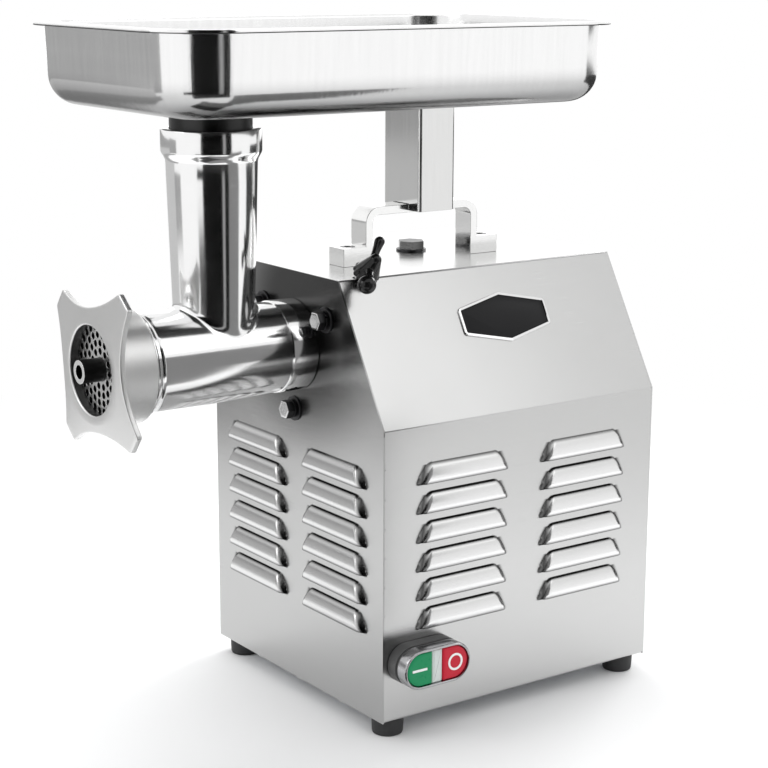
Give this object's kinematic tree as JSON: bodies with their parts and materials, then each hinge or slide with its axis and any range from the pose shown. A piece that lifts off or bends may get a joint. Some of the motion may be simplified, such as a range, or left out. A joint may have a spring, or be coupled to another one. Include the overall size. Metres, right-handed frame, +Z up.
{
  "type": "electric meat grinder",
  "caption": "Countertop electric meat grinder with a louvred stainless body, a push-on grinding head, a feed pan on its post and a twin push-button switch.",
  "frame": {"origin": "centre of the box around the whole grinder, on the worktop under the feet", "axes": "+X from the grinding head's outlet towards the body's right side, +Y from the switch's front panel to the back, +Z up"},
  "size_m": [0.4454, 0.272, 0.521],
  "materials": {
    "satin_steel": "satin brushed stainless sheet",
    "polished_steel": "mirror polished stainless",
    "satin_cast": "bead-blasted stainless casting",
    "fastener_steel": "turned and plated steel",
    "zinc_steel": "zinc-plated sheet",
    "cast_metal": "as-cast aluminium",
    "cast_iron": "machined grey iron",
    "gear_steel": "hobbed gear steel, oiled",
    "bearing_steel": "ground bearing steel",
    "bronze": "sintered bronze",
    "lamination": "stacked electrical steel",
    "copper_winding": "lacquered copper",
    "foot_rubber": "matte black rubber",
    "seal_rubber": "black nitrile rubber",
    "black_plastic": "glossy black phenolic",
    "switch_plastic": "dark grey moulded plastic",
    "badge_black": "blank glossy black plate",
    "start_green": "glossy green plastic",
    "stop_red": "glossy red plastic",
    "pilot_clear": "clear frosted lens",
    "white_plastic": "white moulded can"
  },
  "bodies": {
    "machine": {"main_cover": "satin_steel", "left_panel": "satin_steel", "right_panel": "satin_steel", "base_plate": "zinc_steel", "rubber_feet": "foot_rubber", "foot_screws": "fastener_steel", "base_screws": "fastener_steel", "badge_plate": "badge_black", "switch_housing": "switch_plastic", "switch_bezel": "fastener_steel", "pilot_lens": "pilot_clear", "contact_block": "switch_plastic", "hub_bolts": "fastener_steel", "hub_washers": "fastener_steel", "spring_washers": "fastener_steel", "head_hub": "cast_iron", "gearbox_housing": "cast_metal", "gearbox_cover": "cast_metal", "gearbox_screws": "fastener_steel", "output_bearings": "bearing_steel", "middle_bearings": "bearing_steel", "motor_bearings": "bearing_steel", "oil_seal": "seal_rubber", "motor_stator": "lamination", "motor_windings": "copper_winding", "motor_shell": "cast_iron", "motor_end_cover": "cast_metal", "motor_bracket": "zinc_steel", "capacitor": "white_plastic", "capacitor_clip": "zinc_steel", "cord_gland": "switch_plastic", "gland_nut": "switch_plastic", "top_stiffener": "zinc_steel", "carry_handle": "polished_steel", "handle_screws": "fastener_steel", "top_plug": "fastener_steel"},
    "start_key": {"start_button": "start_green"},
    "stop_key": {"stop_button": "stop_red"},
    "output_drive": {"output_shaft": "gear_steel", "output_gear": "gear_steel"},
    "layshaft": {"middle_shaft": "gear_steel", "middle_gear": "gear_steel"},
    "rotor": {"rotor_shaft": "gear_steel", "rotor_core": "lamination", "motor_fan": "switch_plastic"},
    "grinding_head": {"head_casting": "polished_steel", "neck_bush": "bronze", "plate_pin": "fastener_steel", "perforated_plate": "satin_cast"},
    "feed_screw": {"auger": "satin_cast", "auger_stud": "fastener_steel", "knife": "satin_cast"},
    "nut": {"ring_nut": "satin_cast"},
    "clamp_knob": {"locking_knob": "black_plastic", "locking_screw": "fastener_steel"},
    "pan": {"feed_pan": "polished_steel", "support_post": "satin_steel"}
  },
  "joints": [
    {"name": "output_spin", "type": "hinge", "parent": "machine", "child": "output_drive", "pos_m": [0.01675, 0.0045, 0.281], "axis": [1, 0, 0], "continuous": true},
    {"name": "layshaft_spin", "type": "hinge", "parent": "machine", "child": "layshaft", "pos_m": [0.01675, 0.0045, 0.224], "axis": [1, 0, 0], "continuous": true},
    {"name": "rotor_spin", "type": "hinge", "parent": "machine", "child": "rotor", "pos_m": [0.10675, 0.0045, 0.1556], "axis": [1, 0, 0], "continuous": true},
    {"name": "head_withdraw", "type": "slide", "parent": "machine", "child": "grinding_head", "axis": [-1, 0, 0], "range_m": [0, 0.1]},
    {"name": "auger_spin", "type": "hinge", "parent": "grinding_head", "child": "feed_screw", "pos_m": [-0.10325, 0.0045, 0.281], "axis": [1, 0, 0], "continuous": true},
    {"name": "ring_nut_turn", "type": "hinge", "parent": "grinding_head", "child": "nut", "pos_m": [-0.19325, 0.0045, 0.281], "axis": [-1, 0, 0], "range_deg": [0, 600]},
    {"name": "pan_lift", "type": "slide", "parent": "grinding_head", "child": "pan", "axis": [0, 0, 1], "range_m": [0, 0.06]},
    {"name": "knob_turn", "type": "hinge", "parent": "machine", "child": "clamp_knob", "pos_m": [-0.02075, 0.0045, 0.281], "axis": [0, -0.7212, 0.6927], "range_deg": [0, 450]},
    {"name": "start_press", "type": "slide", "parent": "machine", "child": "start_key", "axis": [0, 1, 0], "range_m": [0, 0.003], "stiffness_N_per_m": 900, "springref_m": -0.001},
    {"name": "stop_press", "type": "slide", "parent": "machine", "child": "stop_key", "axis": [0, 1, 0], "range_m": [0, 0.003], "stiffness_N_per_m": 900, "springref_m": -0.001}
  ],
  "couplings": [
    {"joint": "auger_spin", "follows": "output_spin", "ratio": 1},
    {"joint": "layshaft_spin", "follows": "output_spin", "ratio": -2.75},
    {"joint": "rotor_spin", "follows": "output_spin", "ratio": 8.25}
  ]
}
